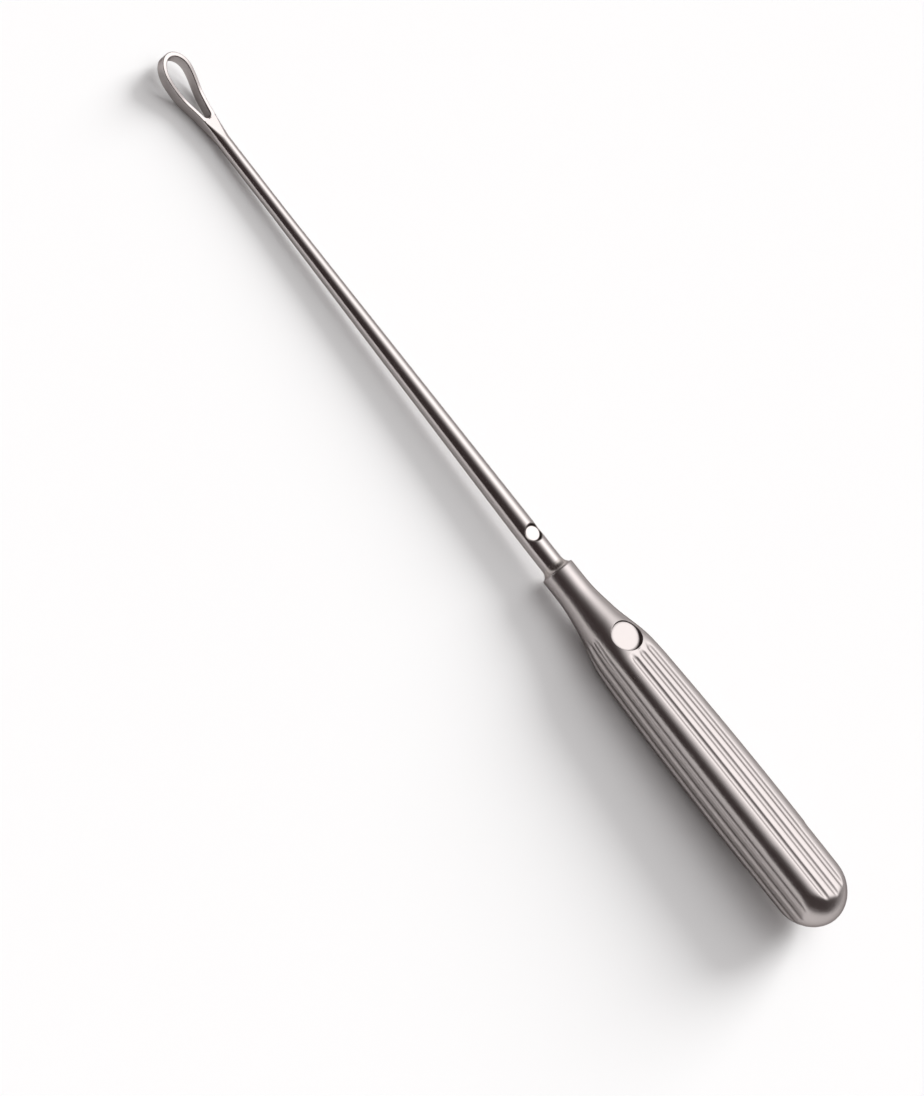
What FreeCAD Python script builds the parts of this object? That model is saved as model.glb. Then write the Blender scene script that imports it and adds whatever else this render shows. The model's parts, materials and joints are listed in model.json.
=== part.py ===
"""Uterine curette: a teardrop scraping loop on a slim round shank, brazed into a hollow fluted handle.

All sizes are in millimetres. The tool is built straight along X, with the loop's tip at X = 0 and the
butt of the handle at the far end, and with the thumb spot facing +Z. At the end it is laid down as it
comes to rest on a table, with its loop and the underside of its handle touching Z = 0.
"""
import FreeCAD
import Part
import math
import os

Vector = FreeCAD.Vector
AXIS_X = Vector(1, 0, 0)
AXIS_Y = Vector(0, 1, 0)
AXIS_Z = Vector(0, 0, 1)
ORIGIN = Vector(0, 0, 0)

# Overall lengths
shank_reach = 165.6             # tip of the loop to the mouth of the handle
handle_length = 114.4           # mouth of the handle to the end of its butt

# Loop: a flat teardrop ring that stands up on edge and rises towards its tip
loop_width = 9.0
loop_widest_at = 5.9            # from the tip to the widest place
loop_thickness = 3.4            # height of the ring's wall
rim_width = 1.15                # width of the ring's wall, seen from above
window_length = 18.0
flank_at = 12.9                 # a place halfway down the teardrop's flank
flank_width = 6.9
root_at = 19.4                  # where the two flanks meet behind the window
root_width = 4.5
lift_angle = 13.6               # slope of the loop above the shank's line, in degrees
lift_start_at = 14.5            # from the tip to where the rise begins
lift_start_radius = 15.0
lift_end_radius = 25.0

# Neck: the ring's square section turned down to the round shank
neck_end_at = 26.0
neck_allowance = 0.05           # how far the square bar stands outside the round at the neck's end
neck_corner_reach = 2.95        # radius of the turned envelope where the neck begins

# Shank
shank_slim_diameter = 3.9
shank_full_diameter = 6.14
taper_start_at = 50.0
taper_end_at = 151.0
set_angle = 1.1                 # the shank's slight upward set, in degrees
set_radius = 260.0
set_to_mouth = 2.6              # straight stretch between the set and the mouth

# Round flat on the shank, on the side that the loop's open face looks to
mark_at = 154.2
mark_diameter = 4.6
mark_floor_height = 1.8         # floor of the flat above the shank's axis

# Tang and brazed socket
socket_length = 14.0
tang_overrun = 4.0              # how far the tang stands out of the socket into the hollow handle
tang_chamfer = 0.8
braze_gap = 0.1                 # film of filler between tang and socket, on the radius
braze_fillet_length = 2.0
braze_fillet_height = 1.03
braze_feather = 0.08            # thickness of the fillet at its thin front edge

# Handle: round collar, swelling shoulder, rounded-square grip, domed butt
collar_diameter = 9.3
lip_radius = 0.5
shoulder_from_mouth = 3.9       # the shoulder starts to swell inside the collar, this far back
shoulder_length = 26.0
shoulder_root_diameter = 9.0    # a little less than the collar, which runs into the shoulder
collar_length = 9.0
grip_front_width = 14.8
grip_front_thickness = 14.3
grip_width = 16.7
grip_thickness = 16.1
belly_from_butt = 30.0          # the grip reaches its full size this far from the end of the butt
grip_squareness = 4.0           # power of the section's curve: 2 is an ellipse, higher is squarer
squareness_overrun = 4.0        # the section goes on getting squarer this far past the shoulder
dome_length = 12.0
dome_margin = 0.1               # how far the dome's circle stands outside the grip's corners
dome_blend = 0.35               # softening of the edge between the grip's faces and the dome
butt_flat_angle = 85.0          # angle round the dome's curve at which its small end flat begins
wall = 1.2
rest_flat_depth = 0.05          # depth of the small flat on the underside that the handle lies on

# Flutes: shallow grooves along each of the four faces of the grip
faces = 4
flutes_per_face = 3
flute_spacing_angle = 20.2      # seen from the handle's axis, in degrees
flute_radius = 1.05             # radius of the round cutter
flute_depth = 0.4
flute_run_in = 2.6              # length over which a flute reaches its full depth
flute_clearance = 0.1           # height of the cutter above the surface where a flute begins
side_flutes_from_mouth = 19.2
spot_to_flutes = 0.3            # land between the thumb spot and the flutes behind it

# Thumb spot: a round flat-bottomed hollow on the top of the shoulder
spot_from_mouth = 24.1
spot_diameter = 8.2
spot_floor_height = 5.6         # floor of the spot above the handle's axis

# Fineness of the curves that the swelling handle is drawn through
points_per_face = 8
shoulder_stations = 12
grip_stations = 5
dome_stations = 8
flute_stations = 7

# Places that follow from the sizes above
mouth_x = shank_reach
handle_end_x = mouth_x + handle_length
shoulder_start_x = mouth_x + shoulder_from_mouth
shoulder_end_x = shoulder_start_x + shoulder_length
belly_x = handle_end_x - belly_from_butt
dome_start_x = handle_end_x - dome_length
socket_end_x = mouth_x + socket_length
tang_end_x = socket_end_x + tang_overrun
spot_x = mouth_x + spot_from_mouth
slim_radius = shank_slim_diameter / 2
full_radius = shank_full_diameter / 2
bore_radius = full_radius + braze_gap
collar_radius = collar_diameter / 2
shoulder_root_radius = shoulder_root_diameter / 2
set_end_x = mouth_x - braze_fillet_length - set_to_mouth
set_length = math.radians(set_angle) * set_radius
set_start_x = set_end_x - set_length


def polygon_edges(points):
    """Straight edges from each point to the next."""
    return [Part.makeLine(first, second) for first, second in zip(points, points[1:])]


def turned(edges):
    """Solid turned round the X axis from the closed outline that the edges make."""
    return Part.Face(Part.Wire(edges)).revolve(ORIGIN, AXIS_X, 360)


def smooth_share(value, start, end):
    """Rises smoothly from 0 at the start to 1 at the end."""
    share = min(max((value - start) / (end - start), 0.0), 1.0)
    return share * share * (3 - 2 * share)


# Loop


def teardrop_half(nose_x, widest, flank, root, root_slope):
    """Half outline of a teardrop on its +Y side, from the nose on the axis to the root."""
    if widest.x - nose_x < widest.y:
        nose = Part.Ellipse(Vector(widest.x, widest.y, 0), Vector(nose_x, 0, 0), Vector(widest.x, 0, 0))
        nose_edge = nose.toShape(0, math.pi / 2)
    else:
        nose = Part.Ellipse(Vector(widest.x, 0, 0), widest.x - nose_x, widest.y)
        nose_edge = nose.toShape(math.pi / 2, math.pi)
    side = Part.BSplineCurve()
    tangents = [AXIS_X, Vector(math.cos(root_slope), -math.sin(root_slope), 0)]
    side.interpolate(Points=[widest, flank, root], InitialTangent=tangents[0], FinalTangent=tangents[1])
    return [nose_edge, side.toShape()]


def both_halves(edges):
    """The half outline and its mirror image across the X axis."""
    return edges + [edge.mirror(ORIGIN, AXIS_Y) for edge in edges]


def upright_prism(edges):
    """Closed outline in the XY plane, raised well past the loop above and below."""
    outline = Part.Wire(Part.__sortEdges__(edges))
    reach = loop_width + loop_thickness
    prism = Part.Face(outline).extrude(Vector(0, 0, 2 * reach))
    prism.translate(Vector(0, 0, -reach))
    return prism


def loop_plan():
    """What the loop and neck cover, seen from above, as an upright prism."""
    root_slope = math.atan2(flank_width - root_width, 2 * (root_at - flank_at)) / 2
    neck_half = slim_radius + neck_allowance
    half = teardrop_half(
        0.0,
        Vector(loop_widest_at, loop_width / 2, 0),
        Vector(flank_at, flank_width / 2, 0),
        Vector(root_at, root_width / 2, 0),
        root_slope,
    )
    neck = Part.BSplineCurve()
    neck.interpolate(
        Points=[Vector(root_at, root_width / 2, 0), Vector(neck_end_at, neck_half, 0)],
        InitialTangent=Vector(math.cos(root_slope), -math.sin(root_slope), 0),
        FinalTangent=AXIS_X,
    )
    half.append(neck.toShape())
    end = Part.makeLine(Vector(neck_end_at, neck_half, 0), Vector(neck_end_at, -neck_half, 0))
    return upright_prism(both_halves(half) + [end])


def window_plan():
    """The opening of the loop, as an upright prism, one rim width inside the loop's outline."""
    flank_slope = math.atan2(flank_width - root_width, 2 * (root_at - flank_at))
    rim_across = rim_width / math.cos(flank_slope)
    nose_x = root_at - window_length
    rear_radius = rim_width
    rear_centre_x = root_at - rear_radius
    rear_tangent = Vector(
        rear_centre_x + rear_radius * math.sin(flank_slope), rear_radius * math.cos(flank_slope), 0
    )
    half = teardrop_half(
        nose_x,
        Vector(loop_widest_at, loop_width / 2 - rim_width, 0),
        Vector(flank_at, flank_width / 2 - rim_across, 0),
        rear_tangent,
        flank_slope,
    )
    rear_end = Vector(root_at, 0, 0)
    middle_angle = (math.pi / 2 - flank_slope) / 2
    rear_middle = Vector(
        rear_centre_x + rear_radius * math.cos(middle_angle), rear_radius * math.sin(middle_angle), 0
    )
    half.append(Part.Arc(rear_tangent, rear_middle, rear_end).toShape())
    return upright_prism(both_halves(half))


def lifted_line(offset):
    """Edges of the loop's side view from the tip back to the root, offset up from the middle line."""
    slope = math.radians(lift_angle)
    lower_centre = Vector(lift_start_at, 0, lift_start_radius)
    lower_radius = lift_start_radius - offset

    def on_lower(angle):
        return lower_centre + Vector(-lower_radius * math.sin(angle), 0, -lower_radius * math.cos(angle))

    tip_middle_z = rise_at_tip()
    upper_centre = Vector(0, 0, tip_middle_z - lift_end_radius)
    upper_radius = lift_end_radius + offset

    def on_upper(angle):
        return upper_centre + Vector(upper_radius * math.sin(angle), 0, upper_radius * math.cos(angle))

    front = Vector(-loop_thickness, 0, tip_middle_z + offset)
    upper_arc = Part.Arc(on_upper(0), on_upper(slope / 2), on_upper(slope)).toShape()
    lower_arc = Part.Arc(on_lower(slope), on_lower(slope / 2), on_lower(0)).toShape()
    return [
        Part.makeLine(front, on_upper(0)),
        upper_arc,
        Part.makeLine(on_upper(slope), on_lower(slope)),
        lower_arc,
        Part.makeLine(on_lower(0), Vector(root_at, 0, offset)),
    ]


def rise_at_tip():
    """Height of the loop's middle line at its tip, above the shank's line."""
    slope = math.radians(lift_angle)
    lower_run = lift_start_radius * math.sin(slope)
    upper_run = lift_end_radius * math.sin(slope)
    straight_run = lift_start_at - lower_run - upper_run
    arcs_rise = (lift_start_radius + lift_end_radius) * (1 - math.cos(slope))
    return arcs_rise + straight_run * math.tan(slope)


def loop_side():
    """The loop and neck in side view, as a strip of even thickness that widens to the round shank."""
    half = loop_thickness / 2
    neck_half = slim_radius + neck_allowance
    top = lifted_line(half)
    bottom = lifted_line(-half)
    tip_z = rise_at_tip()
    front = Part.makeLine(
        Vector(-loop_thickness, 0, tip_z - half), Vector(-loop_thickness, 0, tip_z + half)
    )
    rear = polygon_edges([
        Vector(root_at, 0, half),
        Vector(neck_end_at, 0, neck_half),
        Vector(neck_end_at, 0, -neck_half),
        Vector(root_at, 0, -half),
    ])
    outline = Part.Wire(Part.__sortEdges__([front] + top + rear + bottom))
    strip = Part.Face(outline).extrude(Vector(0, 2 * loop_width, 0))
    strip.translate(Vector(0, -loop_width, 0))
    return strip


def neck_envelope():
    """Turned shape that rounds the neck down to the shank and leaves the loop in front untouched."""
    neck_length = neck_end_at - root_at
    rise = neck_corner_reach - slim_radius
    radius = (neck_length ** 2 + rise ** 2) / (2 * rise)
    half_turn = math.asin(neck_length / radius) / 2
    centre = Vector(neck_end_at, slim_radius + radius, 0)
    middle = centre + Vector(-radius * math.sin(half_turn), -radius * math.cos(half_turn), 0)
    neck_start = Vector(root_at, neck_corner_reach, 0)
    neck_end = Vector(neck_end_at, slim_radius, 0)
    clear_of_loop = loop_width + loop_thickness
    front = Vector(-loop_thickness, clear_of_loop, 0)
    edges = polygon_edges([
        Vector(neck_end_at, 0, 0),
        Vector(-loop_thickness, 0, 0),
        front,
        Vector(root_at, clear_of_loop, 0),
        neck_start,
    ])
    edges.append(Part.Arc(neck_start, middle, neck_end).toShape())
    edges.append(Part.makeLine(neck_end, Vector(neck_end_at, 0, 0)))
    return turned(edges)


def make_loop():
    """Teardrop ring with its neck, from the tip to the start of the round shank."""
    bar = loop_plan().common(loop_side()).common(neck_envelope())
    return bar.cut(window_plan())


# Shank


def make_shank_front():
    """Tapered round shank from the neck to the set, with the round flat cut in its top."""
    shank = turned(polygon_edges([
        Vector(neck_end_at, 0, 0),
        Vector(neck_end_at, slim_radius, 0),
        Vector(taper_start_at, slim_radius, 0),
        Vector(taper_end_at, full_radius, 0),
        Vector(set_start_x, full_radius, 0),
        Vector(set_start_x, 0, 0),
        Vector(neck_end_at, 0, 0),
    ]))
    cutter_height = shank_full_diameter
    cutter = Part.makeCylinder(mark_diameter / 2, cutter_height, Vector(mark_at, 0, mark_floor_height))
    return shank.cut(cutter)


def make_shank_with_loop():
    """One forging: loop, neck, shank with its slight set, and the tang that goes into the handle."""
    front = make_loop().fuse(make_shank_front())
    set_centre = Vector(set_end_x, 0, set_radius)
    front.translate(Vector(set_length, 0, 0))
    front.rotate(set_centre, AXIS_Y, set_angle)
    ring = Part.makeCircle(full_radius, Vector(set_end_x, 0, 0), AXIS_X)
    set_bend = Part.Face(Part.Wire([ring])).revolve(set_centre, AXIS_Y, set_angle)
    tang = turned(polygon_edges([
        Vector(set_end_x, 0, 0),
        Vector(set_end_x, full_radius, 0),
        Vector(tang_end_x - tang_chamfer, full_radius, 0),
        Vector(tang_end_x, full_radius - tang_chamfer, 0),
        Vector(tang_end_x, 0, 0),
        Vector(set_end_x, 0, 0),
    ]))
    return front.fuse([set_bend, tang]).removeSplitter()


# Brazing filler


def make_braze_filler():
    """Filler metal: the film round the tang in its socket, and the hollow fillet at the mouth."""
    rise = braze_fillet_height - braze_feather
    radius = (braze_fillet_length ** 2 + rise ** 2) / (2 * rise)
    half_turn = math.asin(braze_fillet_length / radius) / 2
    fillet_start = Vector(mouth_x - braze_fillet_length, full_radius + braze_feather, 0)
    fillet_end = Vector(mouth_x, full_radius + braze_fillet_height, 0)
    centre = fillet_start + Vector(0, radius, 0)
    middle = centre + Vector(radius * math.sin(half_turn), -radius * math.cos(half_turn), 0)
    edges = [Part.Arc(fillet_start, middle, fillet_end).toShape()]
    edges += polygon_edges([
        fillet_end,
        Vector(mouth_x, bore_radius, 0),
        Vector(socket_end_x, bore_radius, 0),
        Vector(socket_end_x, full_radius, 0),
        Vector(mouth_x - braze_fillet_length, full_radius, 0),
        fillet_start,
    ])
    return turned(edges)


# Handle


def half_sizes(x):
    """Half width and half thickness of the handle's section, before the dome rounds it off."""
    shoulder = smooth_share(x, shoulder_start_x, shoulder_end_x)
    to_belly = min(max((belly_x - x) / (belly_x - shoulder_end_x), 0.0), 1.0)
    fullness = 1 - to_belly ** 2
    width = grip_front_width + fullness * (grip_width - grip_front_width)
    thickness = grip_front_thickness + fullness * (grip_thickness - grip_front_thickness)
    half_width = shoulder_root_radius + shoulder * (width / 2 - shoulder_root_radius)
    half_thickness = shoulder_root_radius + shoulder * (thickness / 2 - shoulder_root_radius)
    return half_width, half_thickness


def plain_radius(x, angle, inset):
    """Distance from the axis to the rounded-square section, without flutes or dome."""
    half_width, half_thickness = half_sizes(x)
    squarer = smooth_share(x, shoulder_start_x, shoulder_end_x + squareness_overrun)
    power = 2 + (grip_squareness - 2) * squarer
    across = abs(math.cos(angle)) / (half_width - inset)
    upward = abs(math.sin(angle)) / (half_thickness - inset)
    return (across ** power + upward ** power) ** (-1 / power)


def make_flute(face_angle, number, start_x):
    """Round cutter for one flute, which follows the handle's surface back from the start."""
    spacing = math.radians(flute_spacing_angle)
    angle = face_angle + (number - (flutes_per_face - 1) / 2) * spacing
    full_x = start_x + flute_run_in
    past_butt = handle_end_x + flute_run_in
    stations = even_steps(full_x, past_butt, flute_stations) + [past_butt]
    heights = [plain_radius(x, angle, 0.0) - flute_depth for x in stations]
    stations.insert(0, start_x)
    heights.insert(0, plain_radius(start_x, angle, 0.0) + flute_clearance)
    rings = []
    for x, height in zip(stations, heights):
        reach = height + flute_radius
        centre = Vector(x, reach * math.cos(angle), reach * math.sin(angle))
        rings.append(Part.Wire([Part.makeCircle(flute_radius, centre, AXIS_X)]))
    return Part.makeLoft(rings, True, True)


def make_flutes():
    """Cutters for the flutes of every face. On top they start behind the thumb spot."""
    cutters = []
    for face in range(faces):
        face_angle = 2 * math.pi * face / faces
        on_top = face == faces // 4
        start_x = mouth_x + side_flutes_from_mouth
        if on_top:
            start_x = spot_x + spot_diameter / 2 + spot_to_flutes
        for number in range(flutes_per_face):
            cutters.append(make_flute(face_angle, number, start_x))
    return cutters


def dome_radius(x, inset):
    """Radius of the domed butt, which is as wide as the grip's corners and ends at its tip."""
    corner_reach = plain_radius(belly_x, math.radians(45), 0.0) + dome_margin
    along = max((x - dome_start_x) / (dome_length - inset), 0.0)
    return (corner_reach - inset) * math.sqrt(max(1 - along ** 2, 0.0))


def soft_smaller(first, second, blend):
    """The smaller of two radii, with the crossing between them softened."""
    return (first + second - math.sqrt((first - second) ** 2 + blend ** 2)) / 2


def section_wire(x, inset):
    """Closed smooth section of the handle, square to its axis, with one edge for each face."""
    points = faces * points_per_face
    places = []
    for number in range(points):
        angle = 2 * math.pi * (number / points + 1 / (2 * faces))
        radius = plain_radius(x, angle, inset)
        if x > dome_start_x - dome_length:
            radius = soft_smaller(radius, dome_radius(x, inset), dome_blend)
        places.append(Vector(x, radius * math.cos(angle), radius * math.sin(angle)))
    curve = Part.BSplineCurve()
    steps = [number / points for number in range(points + 1)]
    curve.interpolate(Points=places, PeriodicFlag=True, Parameters=steps)
    return Part.Wire([curve.toShape(face / faces, (face + 1) / faces) for face in range(faces)])


def even_steps(start, end, count):
    """Places from the start up to but without the end, evenly apart."""
    return [start + (end - start) * number / count for number in range(count)]


def handle_stations(start_x, inset):
    """Places along the handle where its section is drawn, closer together where it changes fast."""
    stations = even_steps(shoulder_start_x, shoulder_end_x + squareness_overrun, shoulder_stations)
    stations += even_steps(shoulder_end_x + squareness_overrun, dome_start_x, grip_stations)
    flat_angle = math.radians(butt_flat_angle)
    for number in range(dome_stations + 1):
        turn = flat_angle * number / dome_stations
        stations.append(dome_start_x + (dome_length - inset) * math.sin(turn))
    behind = [x for x in stations if x > start_x + lip_radius]
    return [start_x] + behind


def handle_loft(start_x, inset, straight_between):
    """Solid drawn through the handle's sections, smoothly or with straight lines between them."""
    wires = [section_wire(x, inset) for x in handle_stations(start_x, inset)]
    return Part.makeLoft(wires, True, straight_between)


def make_collar():
    """Round collar at the mouth of the handle, with a rounded lip, running back into the shoulder."""
    lip_share = lip_radius * (1 - math.sqrt(0.5))
    lip_start = Vector(mouth_x, collar_radius - lip_radius, 0)
    lip_middle = Vector(mouth_x + lip_share, collar_radius - lip_share, 0)
    lip_end = Vector(mouth_x + lip_radius, collar_radius, 0)
    edges = [Part.makeLine(Vector(mouth_x, 0, 0), lip_start)]
    edges.append(Part.Arc(lip_start, lip_middle, lip_end).toShape())
    edges += polygon_edges([
        lip_end,
        Vector(mouth_x + collar_length, collar_radius, 0),
        Vector(mouth_x + collar_length, 0, 0),
        Vector(mouth_x, 0, 0),
    ])
    return turned(edges)


def make_hollow():
    """Space inside the handle, kept one wall away from the thumb spot's floor and side."""
    hollow = handle_loft(socket_end_x, wall, True)
    boss_floor = spot_floor_height - wall
    boss = Part.makeCylinder(spot_diameter / 2 + wall, grip_thickness, Vector(spot_x, 0, boss_floor))
    return hollow.cut(boss)


def make_handle():
    """Thin-walled handle: collar with its socket, shoulder with the thumb spot, fluted grip, butt."""
    outer = make_collar().fuse(handle_loft(shoulder_start_x, 0.0, False))
    socket_start = Vector(mouth_x - lip_radius, 0, 0)
    socket = Part.makeCylinder(bore_radius, socket_length + 2 * lip_radius, socket_start, AXIS_X)
    spot = Part.makeCylinder(spot_diameter / 2, grip_thickness, Vector(spot_x, 0, spot_floor_height))
    return outer.cut([socket, spot, make_hollow()] + make_flutes())


# Laying the tool down


def surface_points(shape):
    """Points spread over a shape's surface, close enough together to find its lowest place."""
    fineness = 0.02
    return shape.tessellate(fineness)[0]


def lowest(points, angle):
    """Height of the lowest point once the tool is turned about Y by the angle, in radians."""
    return min(point.z * math.cos(angle) - point.x * math.sin(angle) for point in points)


def resting_angle(front, rear):
    """Turn about Y, in degrees, that brings the front piece and the rear piece's flat to one level."""
    front_points = surface_points(front)
    rear_points = surface_points(rear)
    low = math.radians(-20)
    high = math.radians(20)
    halvings = 40
    for _ in range(halvings):
        middle = (low + high) / 2
        if lowest(front_points, middle) > lowest(rear_points, middle) + rest_flat_depth:
            high = middle
        else:
            low = middle
    return math.degrees((low + high) / 2)


def lay_down(pieces, front, rear):
    """Turn and move every piece so that the tool rests on Z = 0 with its box centred on the origin."""
    angle = resting_angle(pieces[front], pieces[rear])
    for shape in pieces.values():
        shape.rotate(ORIGIN, AXIS_Y, angle)
    points = [point for shape in pieces.values() for point in surface_points(shape)]
    middle_x = (min(point.x for point in points) + max(point.x for point in points)) / 2
    shift = Vector(-middle_x, 0, -min(point.z for point in surface_points(pieces[front])))
    for shape in pieces.values():
        shape.translate(shift)
    corner = Vector(-handle_end_x / 2, -grip_width, -grip_thickness)
    under_the_table = Part.makeBox(handle_end_x, 2 * grip_width, grip_thickness, corner)
    pieces[rear] = pieces[rear].cut(under_the_table)
    spot_floor = Vector(spot_x, 0, spot_floor_height)
    turn = FreeCAD.Rotation(AXIS_Y, angle)
    print("tilt of the handle's axis", round(angle, 4), "degrees")
    print("thumb spot floor", turn.multVec(spot_floor) + shift, "facing", turn.multVec(AXIS_Z))


def main():
    pieces = {
        "shank_with_loop": make_shank_with_loop(),
        "braze_filler": make_braze_filler(),
        "hollow_handle": make_handle(),
    }
    lay_down(pieces, "shank_with_loop", "hollow_handle")
    os.makedirs("parts", exist_ok=True)
    for name, shape in pieces.items():
        box = shape.BoundBox
        print(name, shape.ShapeType, len(shape.Solids), shape.isValid(), round(shape.Volume, 1), box)
        shape.exportStep("parts/" + name + ".step")


main()
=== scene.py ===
"""Uterine curette: the finished look of the packed model.

Three pieces stand for the three nodes of the packed model. The shank with its loop is one smooth mesh,
the fluted handle is drawn by a Geometry Nodes tree from the rule of its section, and the brazing filler
is a turned ring. All lengths are in metres, in the frame of the packed model.

The tool is first made straight along X, with the loop's tip at X = 0 and the thumb spot facing +Z. Each
point is then laid down into the packed model's frame, which the thumb spot's place and facing give.
"""
import json
import math

import bmesh
import bpy
from mathutils import Matrix, Vector


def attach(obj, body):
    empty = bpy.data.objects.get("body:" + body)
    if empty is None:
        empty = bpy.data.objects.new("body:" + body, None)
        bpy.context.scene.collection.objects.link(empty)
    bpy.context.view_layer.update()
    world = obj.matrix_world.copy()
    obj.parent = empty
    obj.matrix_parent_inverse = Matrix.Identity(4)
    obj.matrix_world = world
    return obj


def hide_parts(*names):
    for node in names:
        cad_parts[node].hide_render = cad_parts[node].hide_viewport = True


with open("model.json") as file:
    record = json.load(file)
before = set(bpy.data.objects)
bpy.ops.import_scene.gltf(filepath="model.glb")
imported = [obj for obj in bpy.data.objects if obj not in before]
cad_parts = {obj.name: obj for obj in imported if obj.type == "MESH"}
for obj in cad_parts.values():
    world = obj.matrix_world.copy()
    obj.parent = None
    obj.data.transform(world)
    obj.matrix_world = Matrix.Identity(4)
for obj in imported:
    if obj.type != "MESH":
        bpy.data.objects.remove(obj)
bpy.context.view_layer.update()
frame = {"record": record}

bl_info = {
    "name": "Uterine Curette",
    "version": (1, 0, 0),
    "blender": (4, 5, 0),
    "location": "View3D > Sidebar > Curette",
    "description": "Makes a uterine curette with its loop, shank, brazed joint and fluted handle",
    "category": "Add Mesh",
}

MM = 0.001

WELD_DISTANCE = 1e-7            # points closer than this, in metres, become one
ON_AXIS = 1e-9                  # radius of a point on the axis, as 0 means no radius of its own

# How finely the ring is divided: across its top, round an edge and down its wall
STRIP_STEPS = 22
EDGE_STEPS = 6
WALL_STEPS = 14

# Steps between the rows of points along the tool
FINE_STEP = 0.3 * MM            # at the neck and at the round hollows
SHANK_STEP = 1.2 * MM
MARK_TO_SET_STEP = 0.6 * MM
TANG_STEP = 1.5 * MM
SHOULDER_STEP = 0.5 * MM
RUN_IN_STEP = 0.25 * MM         # where the top flutes get their depth
GRIP_STEP = 1.0 * MM
DOME_FRONT_STEP = 0.4 * MM
CLOSE_STRETCH = 4 * MM          # length of the closely divided stretch at either end of the grip
NECK_GAP = 0.2 * MM             # from the ring's last section to the neck's first

# Round hollows: the round flat of the shank and the thumb spot of the handle
RINGS_TO_RIM = (0.25, 0.5, 0.75, 0.93)      # shares of the way from the window's edge to the rim
HOLLOW_WALL_STEPS = 10
FLOOR_RINGS = (0.8, 0.65, 0.45, 0.25, 0.1)  # shares of the hollow's radius
MARK_MARGIN = 0.9 * MM          # from the hollow's rim to the window's front edge
MARK_REACH = math.radians(64)   # half the angle that the window takes round the piece
MARK_SOFTNESS = 0.35 * MM       # half the width of the sloping wall
SPOT_MARGIN = 1.2 * MM
SPOT_REACH = math.radians(40)
SPOT_SOFTNESS = 0.16 * MM

POINT_ATTRIBUTES = ("along", "around", "across", "is_across", "drop", "own_radius")

# Sizes that the handle's tree takes over as they are
PLAIN_HANDLE_SIZES = (
    "front_width", "front_thickness", "grip_width", "grip_thickness", "squareness", "dome_length",
    "dome_blend", "flute_spacing", "flute_run_in", "flute_depth", "flute_clearance", "flute_radius",
    "flute_edge", "lip_radius", "spot_floor",
)


# Sizes and finishes that a user can change


def length(name, description, millimetres):
    return bpy.props.FloatProperty(
        name=name, description=description, default=millimetres * MM, unit="LENGTH", precision=5
    )


def angle(name, description, degrees):
    return bpy.props.FloatProperty(
        name=name, description=description, default=math.radians(degrees), unit="ROTATION"
    )


def number(name, description, value):
    return bpy.props.FloatProperty(name=name, description=description, default=value)


def colour(name, description, value):
    return bpy.props.FloatVectorProperty(
        name=name, description=description, default=value, subtype="COLOR", size=3, min=0, max=1
    )


class CuretteLoopSizes(bpy.types.PropertyGroup):
    """Sizes of the teardrop loop and of the neck behind it."""

    width: length("Width", "Outer width of the loop", 9.0)
    widest_at: length("Widest At", "Distance from the tip to the widest place", 5.9)
    thickness: length("Thickness", "Height of the ring's wall", 3.4)
    rim_width: length("Rim Width", "Width of the ring's wall, seen from above", 1.15)
    window_length: length("Window Length", "Length of the opening", 18.0)
    flank_at: length("Flank At", "Distance from the tip to the middle of the flank", 12.9)
    flank_width: length("Flank Width", "Outer width at the middle of the flank", 6.9)
    root_at: length("Root At", "Distance from the tip to the end of the window", 19.4)
    root_width: length("Root Width", "Width where the two flanks meet", 4.5)
    lift_angle: angle("Lift Angle", "Slope of the loop above the shank's line", 14.8)
    lift_start_at: length("Lift Start At", "Distance from the tip to where the rise begins", 14.5)
    lift_start_radius: length("Lift Start Radius", "Bend radius where the rise begins", 15.0)
    lift_end_radius: length("Lift End Radius", "Bend radius towards the tip", 25.0)
    neck_end_at: length("Neck End At", "Distance from the tip to the start of the round shank", 26.0)
    edge_radius: length("Edge Radius", "Rounding of the ring's edges", 0.28)


class CuretteShankSizes(bpy.types.PropertyGroup):
    """Sizes of the round shank, its set, its round flat and its tang."""

    slim_diameter: length("Slim Diameter", "Diameter behind the neck", 3.9)
    full_diameter: length("Full Diameter", "Diameter near the handle", 6.14)
    taper_start_at: length("Taper Start At", "Distance from the tip to where the shank thickens", 50.0)
    taper_end_at: length("Taper End At", "Distance from the tip to the full diameter", 151.0)
    set_angle: angle("Set Angle", "Slight upward bend in front of the handle", 1.2)
    set_radius: length("Set Radius", "Radius of that bend", 260.0)
    set_end_at: length("Set End At", "Distance from the tip to the end of that bend", 161.0)
    mark_at: length("Mark At", "Distance from the tip to the round flat", 154.2)
    mark_diameter: length("Mark Diameter", "Diameter of the round flat", 4.6)
    mark_floor: length("Mark Floor", "Height of the flat above the shank's axis", 1.8)
    tang_end_at: length("Tang End At", "Distance from the tip to the end of the tang", 183.6)
    tang_chamfer: length("Tang Chamfer", "Chamfer at the end of the tang", 0.8)


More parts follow.
